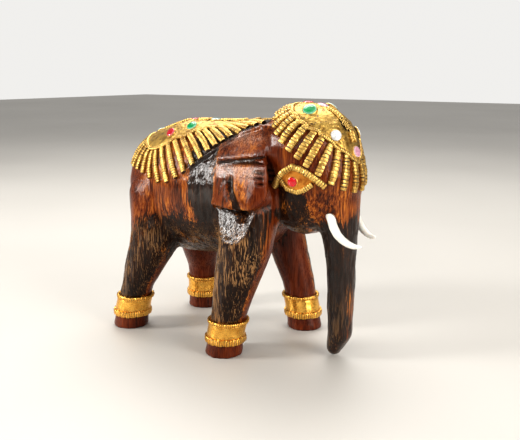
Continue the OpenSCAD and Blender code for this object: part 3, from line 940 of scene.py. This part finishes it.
# %% [markdown]
# ## Plates, plait and flower
# The saddle and the headdress are thin plates of paste pressed on by hand, so their skins
# are uneven and pitted. Between the stones, the saddle has a plait of slanting grains and
# the brow of the headdress has a flower of eight small loops round a ninth, over painted
# shade.

# %% The plates
flower_lo, flower_hi = in_mm(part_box("headdress_flower"))
flower_at = (flower_lo + flower_hi) / 2
for node_name in ("saddle_plate", "headdress_plate"):
    plate = paste(node_name, 0.48, 5, 0.22, 1.6)
    c = points(plate)
    pits = rough(c, (1.1, 1.1, 1.1), 9.1, 2)
    # Painted shade: the plate is darkened under the flower. The pitted mottling all over is a dark wash.
    near_flower = 1 - ease(np.linalg.norm(c - flower_at, axis=1), 3.6, 4.6)
    paint(plate, "wash_and_shade", 0.16 + 0.42 * ease(-pits, 0.1, 0.6) + 0.9 * near_flower)
    finish(plate, plate_gold, "gold_paste", node_name, angle=60)


# %% The plait: one grain, copied in two slanting rows
def make_grain_bead():
    bpy.ops.object.select_all(action="DESELECT")
    bpy.ops.mesh.primitive_uv_sphere_add(segments=10, ring_count=7, radius=MM)
    bead = bpy.context.object
    edit(bead, lambda: bpy.ops.transform.rotate(value=math.pi / 2, orient_axis="Y",
                                                center_override=(0, 0, 0)))
    edit_chosen(bead, lambda c: abs(c.x) > 0.75,
                lambda: bpy.ops.transform.resize(value=(1.15, 0.6, 0.6), center_override=(0, 0, 0)))
    # Painted shade: the underside of each grain is darkened.
    paint(bead, "wash_and_shade", 0.8 * ease(-points(bead)[:, 2], -0.25, 0.4))
    return bead


def place(master, spot, up, ahead, size):
    """A copy of a small piece, set at a spot with its own way up and way ahead, in mm."""
    piece = twin(master)
    up = unit(np.array(up, float))
    across = unit(np.cross(up, ahead))
    ahead = np.cross(across, up)
    c = points(master) * size
    put_points(piece, spot + c[:, :1] * ahead + c[:, 1:2] * across + c[:, 2:] * up)
    return piece


bead = make_grain_bead()
grains = []
run_lo, run_hi = in_mm(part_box("saddle_braid"))
midline = [np.array(sum(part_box("saddle_" + k), Vector())) / (2 * MM)
           for k in ("pale_stone_rear", "pale_stone_front", "red_stone_mid")]
for gx in np.arange(run_lo[0] + 1.0, run_hi[0] - 0.6, 1.6):
    if min(abs(gx - m[0]) for m in midline) < 3.4:
        continue
    for row in (-1, 1):
        hit, up, _, _ = skin.ray_cast(Vector((gx, row * 1.2, 200)) * MM, Vector((0, 0, -1)))
        spot = np.array(hit) / MM + np.array(up) * 1.35
        grains.append(place(bead, spot, up, np.array([1.0, row * 0.75, 0]), (1.75, 0.85, 1.0)))
print("plait grains:", len(grains))
finish(join(grains, "saddle_plait"), gold, "gold_paste", "saddle_braid", angle=60)

# %% The flower: eight loops and a middle loop
def make_loop():
    bpy.ops.object.select_all(action="DESELECT")
    bpy.ops.mesh.primitive_torus_add(major_radius=MM, minor_radius=0.34 * MM,
                                     major_segments=18, minor_segments=8)
    loop = bpy.context.object
    edit_chosen(loop, lambda c: c.x > 0.7,
                lambda: bpy.ops.transform.translate(value=(0.35 * MM, 0, 0)))
    c = points(loop)
    bulge = np.arctan2(c[:, 1], c[:, 0])
    c[:, 2] += 0.07 * np.cos(9 * bulge) * (c[:, 2] > 0)
    put_points(loop, c)
    # Some dark wash all over, and painted shade on the underside of each loop.
    paint(loop, "wash_and_shade", 0.35 + 0.75 * ease(-c[:, 2], -0.18, 0.15))
    return loop


loop = make_loop()
_, flower_up, _, _ = skin.find_nearest(Vector(flower_at * MM))
flower_up = np.array(flower_up)
flower_ahead = unit(np.cross([0.0, 1.0, 0.0], flower_up))
base = np.array(skin.find_nearest(Vector(flower_at * MM))[0]) / MM
loops = []
for k in range(8):
    a = 2 * math.pi * k / 8
    way = flower_ahead * math.cos(a) + np.cross(flower_up, flower_ahead) * math.sin(a)
    spot = base + way * 2.75 + flower_up * 1.25
    loops.append(place(loop, spot, flower_up, way, (1.05, 0.80, 1.0)))
loops.append(place(loop, base + flower_up * 1.45, flower_up, flower_ahead, (0.95, 0.95, 1.2)))
finish(join(loops, "headdress_flower_loops"), gold, "gold_paste", "headdress_flower", angle=60)
flower_across = np.cross(flower_up, flower_ahead)
grains = []
for step in np.r_[np.arange(-12.2, -4.4, 1.55), np.arange(5.0, 9.6, 1.55)]:
    for row in (-1, 1):
        guess = base + flower_ahead * step + flower_across * row * 1.15
        hit, up, _, _ = skin.find_nearest(Vector(guess * MM))
        up = np.array(up)
        slant = flower_ahead + flower_across * row * 0.75
        grains.append(place(bead, np.array(hit) / MM + up * 1.4, up, slant, (1.65, 0.82, 0.95)))
finish(join(grains, "headdress_plait"), gold, "gold_paste", angle=60)
for spare in (loop, bead):
    bpy.data.objects.remove(spare)

# %% [markdown]
# ## Stones
# The stones are small flat glass cabochons, silvered behind, so that the rim looks paler
# than the middle. Each one sits in a low collar of paste. One stone and one collar are
# modelled and copied, and each material changes only its two colours.

# %% Glass
def make_glass(name, middle, rim):
    m, t, bsdf = new_material(name)
    cloud = stretched(t, (700, 700, 700), 2.0, 0.5)
    tone = ramp(t, cloud, [(0.35, tuple(c * 0.75 for c in middle)), (0.65, middle)])
    t.links.new(mix(t, painted(t, "rim"), tone, rim), bsdf.inputs["Base Color"])
    t.links.new(grey_ramp(t, cloud, (0.3, 0.05), (0.7, 0.12)), bsdf.inputs["Roughness"])
    bsdf.inputs["Coat Weight"].default_value = 0.5
    bsdf.inputs["Coat Roughness"].default_value = 0.03
    bsdf.inputs["Transmission Weight"].default_value = 0.25
    bsdf.inputs["IOR"].default_value = 1.52
    add_bump(t, cloud, bsdf.inputs["Normal"], 0.12, 0.1)
    print(m.name, "has", len(t.nodes), "nodes")
    return m


glasses = {
    "green": make_glass("green_glass", (0.0, 0.36, 0.10), (0.30, 0.72, 0.50)),
    "pale": make_glass("pale_green_glass", (0.38, 0.72, 0.58), (0.70, 0.88, 0.80)),
    "red": make_glass("red_glass", (0.62, 0.015, 0.03), (0.80, 0.16, 0.20)),
    "eye": make_glass("red_eye_glass", (0.80, 0.01, 0.02), (0.55, 0.01, 0.02)),
    "white": make_glass("clear_glass", (0.97, 0.97, 0.95), (0.80, 0.80, 0.76)),
    "pink": make_glass("pink_glass", (0.85, 0.42, 0.55), (0.92, 0.68, 0.74)),
}
glass_slots = {"green": "green_glass", "pale": "pale_green_glass", "red": "red_glass",
               "eye": "red_glass", "white": "clear_glass", "pink": "pink_glass"}

# %% One stone and one collar
def make_stone():
    bpy.ops.object.select_all(action="DESELECT")
    bpy.ops.mesh.primitive_cylinder_add(vertices=32, radius=MM, depth=0.62 * MM)
    stone = bpy.context.object
    edit_chosen(stone, lambda c: c.z > 0.3,
                lambda: bpy.ops.mesh.bevel(offset=0.30 * MM, segments=4, profile=0.6))
    edit_chosen(stone, lambda c: c.z > 0.305,
                lambda: bpy.ops.mesh.inset(thickness=0.06 * MM),
                lambda: bpy.ops.mesh.inset(thickness=0.12 * MM),
                lambda: bpy.ops.transform.translate(value=(0, 0, 0.04 * MM)),
                lambda: bpy.ops.mesh.inset(thickness=0.2 * MM),
                lambda: bpy.ops.transform.translate(value=(0, 0, 0.03 * MM)))
    edit(stone, outwards)
    c = points(stone)
    paint(stone, "rim", ease(np.hypot(c[:, 0], c[:, 1]), 0.78, 0.95))
    return stone


def make_collar():
    bpy.ops.object.select_all(action="DESELECT")
    bpy.ops.mesh.primitive_torus_add(major_radius=1.04 * MM, minor_radius=0.13 * MM,
                                     major_segments=44, minor_segments=8)
    collar = bpy.context.object
    c = points(collar)
    a = np.arctan2(c[:, 1], c[:, 0])
    c[:, 2] *= 1.6
    c *= (1 + 0.02 * np.sin(3 * a + 1) + 0.012 * np.sin(7 * a))[:, None]
    put_points(collar, c)
    # Some dark wash all over, and painted shade on the underside of the collar.
    paint(collar, "wash_and_shade", 0.25 + 0.5 * ease(-c[:, 2], -0.05, 0.15))
    return collar


stone, collar = make_stone(), make_collar()

# %% A gem and its collar for each stone of the CAD
for node_name in sorted(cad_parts):
    if "_stone_" not in node_name:
        continue
    c = points(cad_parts[node_name])
    lo, hi = c.min(0), c.max(0)
    middle = (lo + hi) / 2
    _, up, _, _ = skin.find_nearest(Vector(middle * MM))
    near = [np.array(skin.find_nearest(Vector((middle + d) * MM))[1])
            for d in rng.normal(0, 1.2, (12, 3))]
    up = unit(unit(np.array(up) + np.sum(near, 0)) + [0, 0.35 * np.sign(round(middle[1])), 0])
    flat = (c - middle) - ((c - middle) @ up)[:, None] * up
    big = 1.15 if "eye" in node_name or "headdress" in node_name else 1.04
    radius = float(np.linalg.norm(flat, axis=1).max()) * big
    top = float(((c - middle) @ up).max())
    tint = next(k for k in ("green", "pale", "red", "white", "pink", "eye")
                if k in node_name.replace("lilac", "pink").replace("eye_stone", "eye"))
    seat = middle + up * (top - 0.36 * radius)
    gem = place(stone, seat, up, np.array([1.0, 0.2, 0.1]), radius)
    gem.name = gem.data.name = node_name + "_gem"
    finish(gem, glasses[tint], glass_slots[tint], node_name, angle=30)
    ring = place(collar, seat - up * 0.12 * radius, up, np.array([1.0, 0.2, 0.1]), radius)
    ring.name = ring.data.name = node_name + "_collar"
    finish(ring, gold, "gold_paste", angle=60)
for spare in (stone, collar, rib, *rolls.values()):
    bpy.data.objects.remove(spare)

# %% [markdown]
# ## Eyes and tusks
# The almond of each eye is a warmer, more orange paste. The tusks are turned resin pegs,
# smooth and almost white, with the faint long streaks of ivory.

# %% The almonds
for hand in ("right", "left"):
    almond = paste("eye_plate_" + hand, 0.30, 6, 0.05, 1.4)
    c = points(almond)
    stone_lo, stone_hi = in_mm(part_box("eye_stone_" + hand))
    gap = np.linalg.norm((c - (stone_lo + stone_hi) / 2)[:, [0, 2]], axis=1)
    # Painted shade: the almond is darkened round its stone and towards its outer edge.
    paint(almond, "wash_and_shade", 0.75 * (1 - ease(gap, 1.9, 2.9)) + 0.35 * ease(gap, 5, 8))
    finish(almond, amber_gold, "amber_gold", "eye_plate_" + hand, angle=60)

# %% The tusks
def make_ivory():
    m, t, bsdf = new_material("ivory_resin")
    long_streak = stretched(t, (900, 900, 260), 3.0, 0.55, (0, 0.7, 0))
    soft = stretched(t, (160, 160, 160), 2.0, 0.5)
    body = ramp(t, long_streak, [(0.3, (0.80, 0.74, 0.62)), (0.6, (0.90, 0.87, 0.80))])
    t.links.new(mix(t, calc(t, "MULTIPLY", soft, 0.35), body, (0.95, 0.93, 0.90)),
                bsdf.inputs["Base Color"])
    t.links.new(grey_ramp(t, soft, (0.3, 0.24), (0.7, 0.36)), bsdf.inputs["Roughness"])
    bsdf.inputs["Subsurface Weight"].default_value = 0.12
    bsdf.inputs["Subsurface Radius"].default_value = (1.0, 0.7, 0.5)
    bsdf.inputs["Subsurface Scale"].default_value = 0.0015
    bsdf.inputs["Coat Weight"].default_value = 0.4
    bsdf.inputs["Coat Roughness"].default_value = 0.1
    add_bump(t, long_streak, bsdf.inputs["Normal"], 0.1, 0.1)
    print(m.name, "has", len(t.nodes), "nodes")
    return m


ivory = make_ivory()
for hand in ("right", "left"):
    tusk = copy_node("tusk_" + hand, "ivory_tusk_" + hand)
    modify(tusk, "REMESH", mode="VOXEL", voxel_size=0.25 * MM, adaptivity=0)
    modify(tusk, "SMOOTH", iterations=14, factor=0.5)
    finish(tusk, ivory, "ivory_resin", "tusk_" + hand, angle=80)

# %% [markdown]
# ## Floor, light and camera
# The figure stands on a plain pale floor, under a wide soft light from above and behind. A
# small bright one, on the right and towards the tail, puts sharper highlights on the cuts
# and the varnish. Two more fill the near side and the face, and a weak, wide sun and a pale
# world do the rest. The camera stands a little above the figure and looks at its right side
# and face.

# %% The floor
def make_floor():
    bpy.ops.object.select_all(action="DESELECT")
    bpy.ops.mesh.primitive_grid_add(x_subdivisions=8, y_subdivisions=8, size=6)
    floor = bpy.context.object
    floor.name = "studio_floor"
    m, t, bsdf = new_material("pale_floor")
    cloud = stretched(t, (3, 3, 3), 3.0, 0.5)
    t.links.new(ramp(t, cloud, [(0.3, (0.52, 0.495, 0.455)), (0.7, (0.56, 0.535, 0.495))]),
                bsdf.inputs["Base Color"])
    t.links.new(grey_ramp(t, cloud, (0.3, 0.42), (0.7, 0.5)), bsdf.inputs["Roughness"])
    floor.data.materials.append(m)


make_floor()

# %% Lights and world
def soft_light(name, place_at, aim, size, power, colour):
    data = bpy.data.lights.new(name, "AREA")
    data.shape, data.size, data.size_y = "RECTANGLE", size[0], size[1]
    data.energy, data.color = power, colour
    lamp = bpy.data.objects.new(name, data)
    scene.collection.objects.link(lamp)
    lamp.location = place_at
    lamp.rotation_euler = (Vector(aim) - Vector(place_at)).to_track_quat("-Z", "Y").to_euler()


middle = (0, 0, 0.07)
soft_light("top_window", (-0.25, 0.35, 0.75), middle, (0.7, 0.5), 5.0, (1, 0.99, 0.97))
soft_light("left_window", (-0.58, -0.58, 0.40), middle, (0.20, 0.32), 6.2, (1, 0.99, 0.97))
soft_light("near_fill", (0.15, -0.9, 0.5), middle, (0.5, 0.4), 2.4, (1, 0.96, 0.92))
soft_light("face_fill", (0.75, -0.10, 0.35), middle, (0.3, 0.6), 4.4, (1, 0.98, 0.95))
sun = bpy.data.lights.new("soft_sky", "SUN")
sun.energy, sun.angle = 0.85, math.radians(70)
sky = bpy.data.objects.new("soft_sky", sun)
scene.collection.objects.link(sky)
sky.rotation_euler = (math.radians(-22), math.radians(-12), 0)
world = bpy.data.worlds.new("pale_room")
scene.world = world
world.use_nodes = True
back = world.node_tree.nodes["Background"]
back.inputs[0].default_value = (0.96, 0.95, 0.93, 1)
seen = calc(world.node_tree, "MULTIPLY", node(world.node_tree, "LightPath").outputs["Is Camera Ray"], 0.5)
world.node_tree.links.new(calc(world.node_tree, "ADD", seen, 0.27), back.inputs[1])
scene.view_settings.view_transform = "Standard"
scene.view_settings.look = "Medium High Contrast"

# %% The camera
lens = bpy.data.cameras.new("camera")
lens.lens, lens.sensor_width = 48.46, 36
camera = bpy.data.objects.new("camera", lens)
scene.collection.objects.link(camera)
camera.location = (0.2242, -0.3010, 0.1446)
camera.rotation_euler = (math.radians(78), 0, math.radians(35.2))
scene.camera = camera
